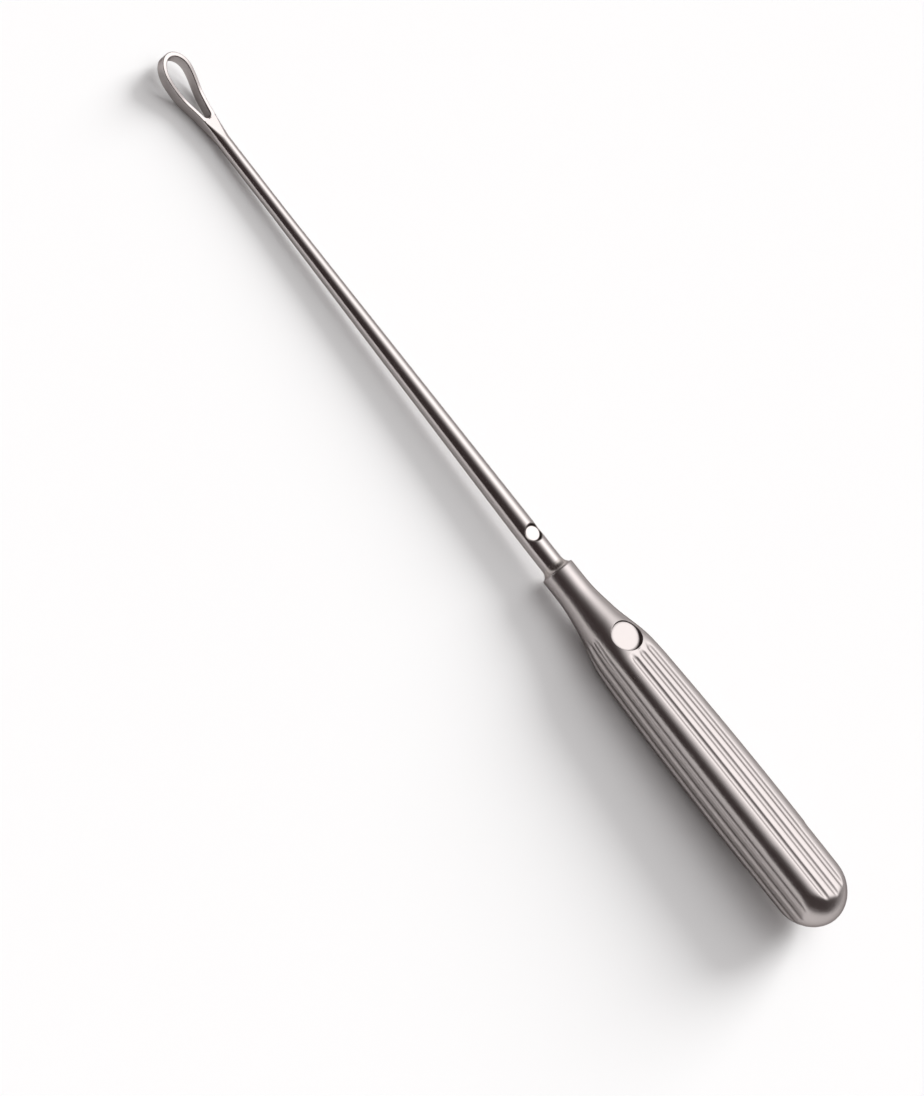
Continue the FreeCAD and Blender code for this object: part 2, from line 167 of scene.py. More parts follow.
class CuretteHandleSizes(bpy.types.PropertyGroup):
    """Sizes of the handle: collar, shoulder, grip, butt, flutes and thumb spot."""

    mouth_at: length("Mouth At", "Distance from the tip to the mouth of the handle", 165.6)
    handle_length: length("Length", "Length of the handle", 114.4)
    collar_diameter: length("Collar Diameter", "Diameter of the round collar", 9.3)
    lip_radius: length("Lip Radius", "Rounding of the collar's front edge", 0.5)
    bore_diameter: length("Bore Diameter", "Diameter of the socket", 6.34)
    shoulder_from_mouth: length("Shoulder From Mouth", "Where the shoulder starts to swell", 3.9)
    shoulder_length: length("Shoulder Length", "Length of the swelling shoulder", 26.0)
    shoulder_root_diameter: length("Shoulder Root Diameter", "Diameter where it starts", 9.0)
    front_width: length("Front Width", "Width of the grip at the shoulder", 14.8)
    front_thickness: length("Front Thickness", "Thickness of the grip at the shoulder", 14.3)
    grip_width: length("Grip Width", "Full width of the grip", 16.7)
    grip_thickness: length("Grip Thickness", "Full thickness of the grip", 16.1)
    belly_from_butt: length("Belly From Butt", "Where the grip has its full size", 30.0)
    squareness: number("Squareness", "Power of the section's curve, 2 for an ellipse", 4.0)
    squarer_from_mouth: length("Squarer From Mouth", "Up to here the shoulder is an ellipse", 16.4)
    squareness_overrun: length("Squareness Overrun", "How far it goes on getting squarer", 4.0)
    dome_length: length("Dome Length", "Length of the domed butt", 12.0)
    dome_margin: length("Dome Margin", "How far the dome stands outside the corners", 0.1)
    dome_blend: length("Dome Blend", "Softening of the edge of the dome", 0.35)
    flute_spacing: angle("Flute Spacing", "Angle between two flutes", 20.2)
    flute_radius: length("Flute Radius", "Radius of a flute's hollow", 1.36)
    flute_depth: length("Flute Depth", "Depth of a flute", 0.28)
    flute_run_in: length("Flute Run-In", "Length over which a flute gets its depth", 1.7)
    flute_clearance: length("Flute Clearance", "Height of the hollow where a flute begins", 0.1)
    flute_edge: length("Flute Edge", "Softening of a flute's edges", 0.14)
    flutes_from_mouth: length("Flutes From Mouth", "Where the side flutes begin", 19.2)
    spot_to_flutes: length("Spot to Flutes", "From the thumb spot to the flutes behind it", 0.3)
    spot_from_mouth: length("Spot From Mouth", "From the mouth to the middle of the thumb spot", 24.1)
    spot_diameter: length("Spot Diameter", "Diameter of the thumb spot", 8.4)
    spot_floor: length("Spot Floor", "Height of its floor above the handle's axis", 5.6)


class CuretteFillerSizes(bpy.types.PropertyGroup):
    """Sizes of the brazing filler at the mouth of the handle."""

    fillet_length: length("Fillet Length", "How far the filler runs out on the shank", 2.0)
    fillet_height: length("Fillet Height", "Height of the filler on the collar", 1.03)
    feather: length("Feather", "Thickness of its thin front edge", 0.02)
    film_length: length("Film Length", "Length of the film in the socket", 14.0)


class CuretteFinish(bpy.types.PropertyGroup):
    """Colours and smoothness of the steel and of the filler."""

    steel: colour("Steel", "Colour of the satin steel", (0.5, 0.46, 0.45))
    filler: colour("Filler", "Colour of the silver filler", (0.52, 0.475, 0.45))
    edge: colour("Edge", "Share of the light that comes back at a glancing angle", (0.3, 0.28, 0.28))
    handle_roughness: number("Handle Roughness", "Roughness of the handle", 0.3)
    shank_roughness: number("Shank Roughness", "Roughness of the shank and loop", 0.2)
    filler_roughness: number("Filler Roughness", "Roughness of the filler", 0.26)


class CuretteStage(bpy.types.PropertyGroup):
    """Camera, floor and light."""

    view_tilt: angle("View Tilt", "Angle between the view and the facing of the thumb spot", 35.0)
    axis_slope: angle("Axis Slope", "Slope of the handle's axis in the picture", 51.51)
    picture_height: length("Picture Height", "Height that the picture covers at the tool", 280.7)
    mouth_right: length("Mouth Right", "The handle's mouth, right of the picture's middle", 24.28)
    mouth_down: length("Mouth Down", "The handle's mouth, below the picture's middle", 5.775)
    distance: bpy.props.FloatProperty(
        name="Distance", description="From the camera to the tool", default=2.4, unit="LENGTH"
    )
    floor_size: bpy.props.FloatProperty(
        name="Floor Size", description="Side of the square floor", default=30.0, unit="LENGTH"
    )
    floor_colour: colour("Floor Colour", "Colour of the floor", (0.93, 0.93, 0.93))
    bright: number("Bright Sky", "Strength of the middle of the bright sky", 2.4)
    bright_slope: angle("Bright Slope", "Lean of the bright sky away from upright", 32.0)
    bright_spread: angle("Bright Spread", "Half width of the bright sky", 31.0)
    horizon: number("Horizon", "Strength of the sky near the horizon behind the tool", 0.4)
    dark: colour("Dark Sky", "Light from the camera's side", (0.06, 0.046, 0.046))
    bright_reach: number("Bright Reach", "How far the bright sky goes along the tool, 1 for all", 0.42)
    lamp: number("Lamp", "Strength of the low soft lamp that throws the long shadow", 3.7)
    lamp_slope: angle("Lamp Slope", "Lean of that lamp away from upright", 68.0)
    lamp_spread: angle("Lamp Spread", "Width of that lamp, as seen from the tool", 30.0)
    fill: number("Fill", "Strength of the wide lamp that lightens the shadow", 0.5)
    fill_slope: angle("Fill Slope", "Lean of the wide lamp towards the camera's side", 30.0)
    fill_spread: angle("Fill Spread", "Width of the wide lamp, as seen from the tool", 120.0)


# Nodes written as expressions


class Term:
    """A socket that can stand in a Python expression, which adds the Math nodes that it needs."""

    def __init__(self, tree, socket):
        self.tree = tree
        self.socket = socket

    def apply(self, operation, *others):
        return self.tree.math(operation, self, *others)

    def __add__(self, other):
        return self.tree.math("ADD", self, other)

    def __radd__(self, other):
        return self.tree.math("ADD", other, self)

    def __sub__(self, other):
        return self.tree.math("SUBTRACT", self, other)

    def __rsub__(self, other):
        return self.tree.math("SUBTRACT", other, self)

    def __mul__(self, other):
        return self.tree.math("MULTIPLY", self, other)

    def __truediv__(self, other):
        return self.tree.math("DIVIDE", self, other)

    def __rtruediv__(self, other):
        return self.tree.math("DIVIDE", other, self)

    def __pow__(self, other):
        return self.tree.math("POWER", self, other)

    def __neg__(self):
        return self.tree.math("MULTIPLY", self, -1.0)


class NodeTree:
    """Adds nodes to one node tree."""

    def __init__(self, tree):
        self.tree = tree

    def node(self, kind, settings=None, sockets=None):
        """A new node. Its settings come first, and then the values or links of its sockets."""
        node = self.tree.nodes.new(kind)
        for name, value in (settings or {}).items():
            setattr(node, name, value)
        for key, value in (sockets or {}).items():
            if isinstance(value, Term):
                self.tree.links.new(value.socket, node.inputs[key])
            elif isinstance(value, bpy.types.NodeSocket):
                self.tree.links.new(value, node.inputs[key])
            else:
                node.inputs[key].default_value = value
        return node

    def term(self, node, output=0):
        return Term(self, node.outputs[output])

    def math(self, operation, *values):
        return self.term(self.node("ShaderNodeMath", {"operation": operation}, dict(enumerate(values))))

    def smooth_share(self, value, start, end):
        sockets = {"Value": value, "From Min": start, "From Max": end}
        return self.term(self.node("ShaderNodeMapRange", {"interpolation_type": "SMOOTHSTEP"}, sockets))


def smooth_share(value, start, end):
    """Smooth step from 0 at the start to 1 at the end, for numbers and for sockets."""
    if isinstance(value, Term):
        return value.tree.smooth_share(value, start, end)
    share = min(max((value - start) / (end - start), 0.0), 1.0)
    return share * share * (3 - 2 * share)


def either(value, operation, plain, *others):
    """A function of a number, or the Math node for it where the value is a socket."""
    if isinstance(value, Term):
        return value.apply(operation, *others)
    return plain(value, *others)


def sine(value):
    return either(value, "SINE", math.sin)


def cosine(value):
    return either(value, "COSINE", math.cos)


def size_of(value):
    return either(value, "ABSOLUTE", abs)


def root(value):
    return either(value, "SQRT", math.sqrt)


def at_least(value, least):
    return either(value, "MAXIMUM", max, least)


def at_most(value, most):
    return either(value, "MINIMUM", min, most)


def softly_smaller(first, second, blend):
    """The smaller of two values, with the crossing between them softened."""
    return (first + second - root((first - second) ** 2 + blend ** 2)) / 2


def softly_larger(first, second, blend):
    """The larger of two values, with the crossing between them softened."""
    return (first + second + root((first - second) ** 2 + blend ** 2)) / 2


# Laying the straight tool down into the packed model's frame


def lie():
    """Turn and shift from the straight tool to the packed model, from the thumb spot's mount."""
    handle = bpy.context.scene.curette_handle
    mount = next(mount for mount in frame["record"]["mounts"] if mount["name"] == "thumb_spot")
    facing = Vector(mount["axis"]).normalized()
    back = Vector((facing.z, 0.0, -facing.x))
    sideways = Vector((0.0, 1.0, 0.0))
    turn = Matrix((back, sideways, facing)).transposed()
    spot = Vector((handle.mouth_at + handle.spot_from_mouth, 0.0, handle.spot_floor))
    return Matrix.Translation(Vector(mount["pos_m"]) - turn @ spot) @ turn.to_4x4()


def with_set(point):
    """Bends the straight shank by its slight set. Points behind the set stay where they are."""
    shank = bpy.context.scene.curette_shank
    set_length = shank.set_angle * shank.set_radius
    behind = shank.set_end_at - point.x
    if behind <= 0:
        return point
    turn = min(behind, set_length) / shank.set_radius
    straight = min(set_length - behind, 0.0)
    height = point.z - shank.set_radius
    return Vector((
        shank.set_end_at + straight * math.cos(turn) + height * math.sin(turn),
        point.y,
        shank.set_radius - straight * math.sin(turn) + height * math.cos(turn),
    ))


# Meshes


def finished_object(name, mesh, node, material):
    """Closed mesh with its faces outwards, as a piece that stands for a node of the packed model."""
    shell = bmesh.new()
    shell.from_mesh(mesh)
    bmesh.ops.remove_doubles(shell, verts=shell.verts, dist=WELD_DISTANCE)
    bmesh.ops.recalc_face_normals(shell, faces=shell.faces)
    open_edges = sum(1 for edge in shell.edges if not edge.is_manifold)
    if open_edges:
        raise RuntimeError(name + " has " + str(open_edges) + " open edges")
    shell.to_mesh(mesh)
    shell.free()
    mesh.shade_smooth()
    mesh.materials.clear()
    mesh.materials.append(material)
    mesh.name = name
    piece = bpy.data.objects.new(name, mesh)
    bpy.context.scene.collection.objects.link(piece)
    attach(piece, "root")
    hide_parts(node)
    return piece


def even_steps(start, end, step):
    """Places from the start up to but without the end, at most one step apart."""
    count = max(math.ceil(abs(end - start) / step - 1e-6), 1)
    return [start + (end - start) * index / count for index in range(count)]


def columns_on_top(angles, reach):
    """First and last of the columns that lie within reach of the top."""
    inside = [index for index, around in enumerate(angles) if abs(around - math.pi / 2) < reach]
    return inside[0], inside[-1]


class Skin:
    """Skin of a long round piece, with points given along it and round it.

    A point has its place along the piece, its angle round it or its distance across it, how far it is
    dropped towards the floor of a round hollow, and a radius of its own where it leaves the outer skin.
    """

    def __init__(self):
        self.points = []
        self.faces = []

    def add(self, along, around=0.0, across=0.0, is_across=False, drop=0.0, own_radius=0.0):
        self.points.append((along, around, across, 1.0 if is_across else 0.0, drop, own_radius))
        return len(self.points) - 1

    def join(self, first, second, left_out=()):
        """Faces between two rows of as many points, except at the columns left out."""
        for index in range(len(first)):
            if index not in left_out:
                after = (index + 1) % len(first)
                self.faces.append((first[index], first[after], second[after], second[index]))

    def close(self, row, along, **place):
        """Triangles from a row to one point in its middle."""
        tip = self.add(along, **place)
        for index in range(len(row)):
            self.faces.append((row[index], row[(index + 1) % len(row)], tip))

    def rows(self, places, angles, window):
        """Rows of points round the piece, with faces between them except in the window."""
        first, last, left, right = window
        rows = [[self.add(along, around) for around in angles] for along in places]
        for row in range(len(rows) - 1):
            self.join(rows[row], rows[row + 1], range(left, right) if first <= row < last else ())
        return rows

    def round_hollow(self, rows, window, middle, radius, softness, across_at):
        """Fills the window with rings that run down into a round hollow with a flat floor."""
        first, last, left, right = window
        rim = rows[first][left:right]
        rim += [row[right] for row in rows[first:last]]
        rim += list(reversed(rows[last][left + 1:right + 1]))
        rim += [row[left] for row in reversed(rows[first + 1:last + 1])]
        places = []
        for index in rim:
            along, around = self.points[index][:2]
            places.append((along, across_at(along, around)))
        profile = [(share, radius + softness, 0.0) for share in RINGS_TO_RIM]
        for step in range(HOLLOW_WALL_STEPS + 1):
            share = step / HOLLOW_WALL_STEPS
            profile.append((1.0, radius + softness * (1 - 2 * share), smooth_share(share, 0, 1)))
        profile += [(1.0, radius * share, 1.0) for share in FLOOR_RINGS]
        rings = [rim]
        for share, reach, drop in profile:
            ring = []
            for along, across in places:
                scale = 1 + (reach / math.hypot(along - middle, across) - 1) * share
                ring.append(self.add(
                    middle + (along - middle) * scale, across=across * scale, is_across=True, drop=drop
                ))
            rings.append(ring)
        for outer, inner in zip(rings, rings[1:]):
            self.join(outer, inner)
        self.close(rings[-1], middle, is_across=True, drop=1.0)


# Shank with loop


def flank_height(x, places, start_slope, end_slope):
    """Smooth curve through three places with a given slope at each end."""
    (x0, y0), (x1, y1), (x2, y2) = places
    first = x1 - x0
    second = x2 - x1
    steepness = 3 * ((y1 - y0) / first ** 2 + (y2 - y1) / second ** 2)
    steepness -= start_slope / first + end_slope / second
    middle_slope = steepness / (2 / first + 2 / second)
    if x <= x1:
        return curve_height(x, (x0, y0, start_slope), (x1, y1, middle_slope))
    return curve_height(x, (x1, y1, middle_slope), (x2, y2, end_slope))


def curve_height(x, start, end):
    """Height of the cubic between two ends that each have a place, a height and a slope."""
    run = end[0] - start[0]
    t = (x - start[0]) / run
    ease = t * t * (3 - 2 * t)
    lead = run * t * (1 - t) ** 2
    tail = -run * t * t * (1 - t)
    return start[1] + (end[1] - start[1]) * ease + start[2] * lead + end[2] * tail


def slope_of_flank(sizes):
    """Angle by which the teardrop's flank closes in towards the neck."""
    return math.atan2(sizes.flank_width - sizes.root_width, 2 * (sizes.root_at - sizes.flank_at))


def loop_outlines(sizes):
    """Outer outline of the loop and outline of its window, on the +Y side, with matching points."""
    nose_steps = 30
    rear_steps = 14
    flank_step = 0.32 * MM
    half_width = sizes.width / 2
    inner_reach = sizes.widest_at - (sizes.root_at - sizes.window_length)
    flank_slope = slope_of_flank(sizes)
    rim_across = sizes.rim_width / math.cos(flank_slope)
    rear_radius = sizes.rim_width
    rear_x = sizes.root_at - rear_radius
    rear_start = rear_x + rear_radius * math.sin(flank_slope)
    outer_places = (
        (sizes.widest_at, half_width),
        (sizes.flank_at, sizes.flank_width / 2),
        (sizes.root_at, sizes.root_width / 2),
    )
    inner_places = (
        (sizes.widest_at, half_width - sizes.rim_width),
        (sizes.flank_at, sizes.flank_width / 2 - rim_across),
        (rear_start, rear_radius * math.cos(flank_slope)),
    )
    outer = []
    inner = []
    for step in range(nose_steps):
        turn = math.pi / 2 * step / nose_steps
        outer.append((sizes.widest_at * (1 - math.cos(turn)), half_width * math.sin(turn)))
        inner.append((
            sizes.widest_at - inner_reach * math.cos(turn),
            (half_width - sizes.rim_width) * math.sin(turn),
        ))
    for x in even_steps(sizes.widest_at, rear_start, flank_step):
        outer.append((x, flank_height(x, outer_places, 0.0, -math.tan(flank_slope / 2))))
        inner.append((x, flank_height(x, inner_places, 0.0, -math.tan(flank_slope))))
    for step in range(rear_steps + 1):
        share = step / rear_steps
        x = rear_start + (sizes.root_at - rear_start) * share
        outer.append((x, flank_height(x, outer_places, 0.0, -math.tan(flank_slope / 2))))
        turn = (math.pi / 2 - flank_slope) * (1 - share)
        inner.append((rear_x + rear_radius * math.cos(turn), rear_radius * math.sin(turn)))
    return outer, inner


def plan_normals(outline):
    """Unit normals of a half outline, to its left as it runs, level with Y = 0 at its ends."""
    normals = []
    last = len(outline) - 1
    for index in range(len(outline)):
        before = outline[max(index - 1, 0)]
        after = outline[min(index + 1, last)]
        along = after[0] - before[0]
        across = after[1] - before[1]
        size = math.hypot(along, across)
        normals.append((-across / size, along / size))
    return normals


def line_height(sizes, x, offset):
    """Height of the loop's middle line, offset up square to itself."""
    slope = sizes.lift_angle
    lower = sizes.lift_start_radius - offset
    upper = sizes.lift_end_radius + offset
    straight = sizes.lift_start_at - (sizes.lift_start_radius + sizes.lift_end_radius) * math.sin(slope)
    arcs_rise = (sizes.lift_start_radius + sizes.lift_end_radius) * (1 - math.cos(slope))
    tip_height = arcs_rise + straight * math.tan(slope)
    upper_end = upper * math.sin(slope)
    lower_start = sizes.lift_start_at - lower * math.sin(slope)
    if x >= sizes.lift_start_at:
        return offset
    if x >= lower_start:
        return sizes.lift_start_radius - math.sqrt(lower ** 2 - (sizes.lift_start_at - x) ** 2)
    start_height = sizes.lift_start_radius - lower * math.cos(slope)
    if x >= upper_end:
        return start_height + (lower_start - x) * math.tan(slope)
    return tip_height - sizes.lift_end_radius + math.sqrt(upper ** 2 - x ** 2)


def loop_sections(sizes):
    """Half sections of the ring: outside from the top's inner edge round to the bottom's, and inside."""
    outer, inner = loop_outlines(sizes)
    outer_normals = plan_normals(outer)
    inner_normals = plan_normals(inner)
    outer_normals[0] = (-1.0, 0.0)
    inner_normals[0] = (-1.0, 0.0)
    inner_normals[-1] = (1.0, 0.0)
    edge = sizes.edge_radius
    half = sizes.thickness / 2

    def on_edge(place, normal, sign, turn):
        inset = edge * (1 - math.sin(turn))
        x = place[0] - normal[0] * inset
        y = place[1] - normal[1] * inset
        return Vector((x, y, line_height(sizes, x, sign * half) - sign * edge * (1 - math.cos(turn))))

    sections = []
    for place, window, out, into in zip(outer, inner, outer_normals, inner_normals):
        back = (-into[0], -into[1])
        outside = []
        top_outer = on_edge(place, out, 1, 0.0)
        top_inner = on_edge(window, back, 1, 0.0)
        for step in range(STRIP_STEPS):
            point = top_inner.lerp(top_outer, step / STRIP_STEPS)
            point.z = line_height(sizes, point.x, half)
            outside.append(point)
        outside += [on_edge(place, out, 1, math.pi / 2 * step / EDGE_STEPS) for step in range(EDGE_STEPS)]
        top = on_edge(place, out, 1, math.pi / 2)
        bottom = on_edge(place, out, -1, math.pi / 2)
        outside += [top.lerp(bottom, step / WALL_STEPS) for step in range(WALL_STEPS)]
        outside += [
            on_edge(place, out, -1, math.pi / 2 * (1 - step / EDGE_STEPS)) for step in range(EDGE_STEPS)
        ]
        bottom_outer = on_edge(place, out, -1, 0.0)
        bottom_inner = on_edge(window, back, -1, 0.0)
        for step in range(STRIP_STEPS + 1):
            point = bottom_outer.lerp(bottom_inner, step / STRIP_STEPS)
            point.z = line_height(sizes, point.x, -half)
            outside.append(point)
        inside = [on_edge(window, back, -1, math.pi / 2 * step / EDGE_STEPS) for step in range(EDGE_STEPS)]
        low = on_edge(window, back, -1, math.pi / 2)
        high = on_edge(window, back, 1, math.pi / 2)
        inside += [low.lerp(high, step / WALL_STEPS) for step in range(WALL_STEPS)]
        inside += [
            on_edge(window, back, 1, math.pi / 2 * (1 - step / EDGE_STEPS))
            for step in range(EDGE_STEPS + 1)
        ]
        sections.append((outside, inside[1:-1]))
    return sections


def neck_section(sizes, slim_radius, x):
    """Half section of the neck, from its top round to its bottom: a bar whose corners grow round."""
    share = (x - sizes.root_at) / (sizes.neck_end_at - sizes.root_at)
    flank_slope = slope_of_flank(sizes)
    start = (sizes.root_at, sizes.root_width / 2, -math.tan(flank_slope / 2))
    half_width = curve_height(x, start, (sizes.neck_end_at, slim_radius, 0.0))
    half_height = sizes.thickness / 2 + (slim_radius - sizes.thickness / 2) * share
    edge = sizes.edge_radius
    corner_radius = edge + (min(half_width, half_height) - edge) * share
    flat = slim_radius - edge
    directions = [(flat * step / STRIP_STEPS, slim_radius) for step in range(STRIP_STEPS)]
    for step in range(EDGE_STEPS):
        turn = math.pi / 2 * step / EDGE_STEPS
        directions.append((flat + edge * math.sin(turn), flat + edge * math.cos(turn)))
    half_wall_steps = WALL_STEPS // 2
    directions += [(slim_radius, flat * (1 - step / half_wall_steps)) for step in range(half_wall_steps)]
    lower = [(across, -up) for across, up in reversed(directions)]
    section = []
    for across, up in directions + [(slim_radius, 0.0)] + lower:
        y, z = on_rounded_bar(across, abs(up), half_width, half_height, corner_radius)
        section.append(Vector((x, y, math.copysign(z, up))))
    return section


def on_rounded_bar(across, up, half_width, half_height, corner_radius):
    """Where a ray from the middle, to the right and up, meets a bar with rounded corners."""
    size = math.hypot(across, up)
    across, up = across / size, up / size
    flat_width = half_width - corner_radius
    flat_height = half_height - corner_radius
    if up > 0 and across * half_height / up <= flat_width:
        reach = half_height / up
    elif across > 0 and up * half_width / across <= flat_height:
        reach = half_width / across
    else:
        middle = across * flat_width + up * flat_height
        reach = middle + math.sqrt(middle ** 2 - flat_width ** 2 - flat_height ** 2 + corner_radius ** 2)
    return across * reach, up * reach


def shank_radius(sizes, along):
    share = (along - sizes.taper_start_at) / (sizes.taper_end_at - sizes.taper_start_at)
    share = min(max(share, 0.0), 1.0)
    radius = (sizes.slim_diameter + (sizes.full_diameter - sizes.slim_diameter) * share) / 2
    return radius - max(along - (sizes.tang_end_at - sizes.tang_chamfer), 0.0)


def half_shell(sections):
    """Vertices and faces of the loop's +Y half and of its mirror image."""
    vertices = []
    faces = []
    rows = []
    for outside, inside in sections:
        first = len(vertices)
        vertices.extend(outside + inside)
        rows.append((first, len(outside), len(inside)))
    for (first, outside, inside), (second, _, inside_after) in zip(rows, rows[1:]):
        for index in range(outside - 1):
            faces.append((first + index, first + index + 1, second + index + 1, second + index))
        if inside and inside_after:
            first_ring = [first + outside - 1] + [first + outside + step for step in range(inside)] + [first]
            second_ring = [second + outside - 1] + [second + outside + step for step in range(inside)]
            second_ring.append(second)
            for index in range(inside + 1):
                faces.append((
                    first_ring[index], first_ring[index + 1], second_ring[index + 1], second_ring[index]
                ))
    count = len(vertices)
    mirrored = [Vector((point.x, -point.y, point.z)) for point in vertices]
    faces += [tuple(index + count for index in reversed(face)) for face in faces]
    return vertices + mirrored, faces


def shank_skin(sizes, start, angles):
    """Round shank from the neck to the end of the tang, with the round flat on its top."""
    window_half = sizes.mark_diameter / 2 + MARK_MARGIN
    before = sizes.mark_at - window_half
    after = sizes.mark_at + window_half
    places = even_steps(start, before, SHANK_STEP)
    first = len(places)
    places += even_steps(before, after, FINE_STEP)
    last = len(places)
    places += even_steps(after, sizes.set_end_at, MARK_TO_SET_STEP)
    chamfer_start = sizes.tang_end_at - sizes.tang_chamfer
    places += even_steps(sizes.set_end_at, chamfer_start, TANG_STEP)
    places += [chamfer_start, sizes.tang_end_at]
    window = (first, last, *columns_on_top(angles, MARK_REACH))
    skin = Skin()
    rows = skin.rows(places, angles, window)
    skin.close(rows[-1], sizes.tang_end_at)

    def across_at(along, around):
        return shank_radius(sizes, along) * math.cos(around)

    skin.round_hollow(rows, window, sizes.mark_at, sizes.mark_diameter / 2, MARK_SOFTNESS, across_at)
    points = []
    for along, around, across, is_across, drop, _ in skin.points:
        radius = shank_radius(sizes, along)
        if is_across:
            height = math.sqrt(max(radius ** 2 - across ** 2, 0.0))
            height += (sizes.mark_floor - height) * drop
            points.append(Vector((along, across, height)))
        else:
            points.append(Vector((along, radius * math.cos(around), radius * math.sin(around))))
    return points, skin.faces


class MESH_OT_curette_shank(bpy.types.Operator):
    """Make the shank with its loop, neck, round flat and tang"""

    bl_idname = "mesh.curette_shank"
    bl_label = "Shank With Loop"

    def execute(self, context):
        loop = context.scene.curette_loop
        shank = context.scene.curette_shank
        sections = loop_sections(loop)
        neck_start = loop.root_at + loop.edge_radius + NECK_GAP
        for x in even_steps(neck_start, loop.neck_end_at, FINE_STEP) + [loop.neck_end_at]:
            sections.append((neck_section(loop, shank.slim_diameter / 2, x), []))
        vertices, faces = half_shell(sections)
        last = sections[-1][0]
        half_angles = [math.atan2(point.z, point.y) for point in last]
        angles = list(reversed(half_angles[1:]))
        angles += [math.pi - around for around in half_angles[:-1]]
        points, skin_faces = shank_skin(shank, loop.neck_end_at, angles)
        offset = len(vertices)
        faces += [tuple(index + offset for index in face) for face in skin_faces]
        placing = lie()
        vertices = [placing @ with_set(point) for point in vertices + points]
        mesh = bpy.data.meshes.new("shank_with_loop")
        mesh.from_pydata(vertices, [], faces)
        finish = context.scene.curette_finish
        steel = satin_steel("shank_steel", finish.steel, finish.edge, finish.shank_roughness)
        finished_object("curette_shank", mesh, "shank_with_loop", steel)
        return {"FINISHED"}


# Handle


def section_sizes(size, along):
    """Half width, half thickness and squareness of the handle's section, for numbers and for sockets."""
    shoulder = smooth_share(along, size["shoulder_start"], size["shoulder_end"])
    to_belly = at_most(at_least((size["belly"] - along) / (size["belly"] - size["shoulder_end"]), 0.0), 1.0)
    fullness = 1.0 - to_belly * to_belly
    width = size["front_width"] + fullness * (size["grip_width"] - size["front_width"])
    thickness = size["front_thickness"] + fullness * (size["grip_thickness"] - size["front_thickness"])
    half_width = size["root_radius"] + shoulder * (width / 2.0 - size["root_radius"])
    half_thickness = size["root_radius"] + shoulder * (thickness / 2.0 - size["root_radius"])
    squarer = smooth_share(along, size["square_start"], size["square_end"])
    power = 2.0 + (size["squareness"] - 2.0) * squarer
    return half_width, half_thickness, power


def section_radius(half_width, half_thickness, power, around):
    """Distance from the handle's axis to its rounded-square section."""
    across = size_of(cosine(around)) / half_width
    upward = size_of(sine(around)) / half_thickness
    return (across ** power + upward ** power) ** (-1.0 / power)


def outer_radius(size, along, around, half_width, half_thickness, power):
    """Radius of the handle's skin, with its dome, flutes and collar, as sockets."""
    outside_steepness = 10.0
    soft_by = 3.0 * MM
    hard_from = 5.0 * MM
    collar_end = 8.0 * MM
    collar_softness = 0.1 * MM
    plain = section_radius(half_width, half_thickness, power, around)
    dome_share = at_least((along - size["dome_start"]) / size["dome_length"], 0.0)
    dome = size["dome_radius"] * root(at_least(1.0 - dome_share * dome_share, 0.0))
    domed = softly_smaller(plain, dome, size["dome_blend"])
    near_butt = (along - (size["dome_start"] - size["dome_length"])).apply("GREATER_THAN", 0.0)
    skin = plain + (domed - plain) * near_butt
    quarter = math.pi / 4
    folded = around.apply("WRAP", quarter, -quarter)
    number_in_face = at_most(at_least(folded / size["flute_spacing"], -1.0), 1.0).apply("ROUND")
    offset = folded - number_in_face * size["flute_spacing"]
    on_top = sine(around - folded).apply("GREATER_THAN", 0.5)
    start = size["flute_start"] + on_top * (size["top_flute_start"] - size["flute_start"])
    depth = (along - start) / size["flute_run_in"] * (size["flute_depth"] + size["flute_clearance"])
    depth = at_most(depth - size["flute_clearance"], size["flute_depth"])
    reach = section_radius(half_width, half_thickness, power, around - offset) - depth
    reach = reach + size["flute_radius"]
    sideways = size_of(reach * sine(offset))
    hollow = root(at_least(size["flute_radius"] ** 2.0 - sideways * sideways, 0.0))
    outside = at_least(sideways - size["flute_radius"], 0.0) * outside_steepness
    flute = reach * cosine(offset) - hollow + outside
    fluted = softly_smaller(skin, flute, size["flute_edge"])
    lip_share = at_least(size["mouth"] + size["lip_radius"] - along, 0.0)
    lip = root(at_least(size["lip_radius"] ** 2.0 - lip_share * lip_share, 0.0))
    collar = size["collar_radius"] - size["lip_radius"] + lip
    run = along - size["shoulder_start"]
    softening = smooth_share(run, 0.0, soft_by) * (1.0 - smooth_share(run, hard_from, collar_end))
    with_collar = softly_larger(fluted, collar, softening * collar_softness)
    in_front = (collar_end - run).apply("GREATER_THAN", 0.0)
    behind = run.apply("GREATER_THAN", 0.0)
    joined = fluted + (with_collar - fluted) * in_front
    return collar + (joined - collar) * behind


def handle_sizes(handle):
    """Named inputs of the handle's tree, from the sizes that a user can change."""
    end = handle.mouth_at + handle.handle_length
    shoulder_start = handle.mouth_at + handle.shoulder_from_mouth
    shoulder_end = shoulder_start + handle.shoulder_length
    spot = handle.mouth_at + handle.spot_from_mouth
    corner = section_radius(
        handle.grip_width / 2, handle.grip_thickness / 2, handle.squareness, math.pi / 4
    )
    sizes = {name: getattr(handle, name) for name in PLAIN_HANDLE_SIZES}
    sizes.update({
        "mouth": handle.mouth_at,
        "shoulder_start": shoulder_start,
        "shoulder_end": shoulder_end,
        "square_start": handle.mouth_at + handle.squarer_from_mouth,
        "square_end": shoulder_end + handle.squareness_overrun,
        "belly": end - handle.belly_from_butt,
        "root_radius": handle.shoulder_root_diameter / 2,
        "dome_start": end - handle.dome_length,
        "dome_radius": corner + handle.dome_margin,
        "flute_start": handle.mouth_at + handle.flutes_from_mouth,
        "top_flute_start": spot + handle.spot_diameter / 2 + handle.spot_to_flutes,
        "collar_radius": handle.collar_diameter / 2,
    })
    return sizes


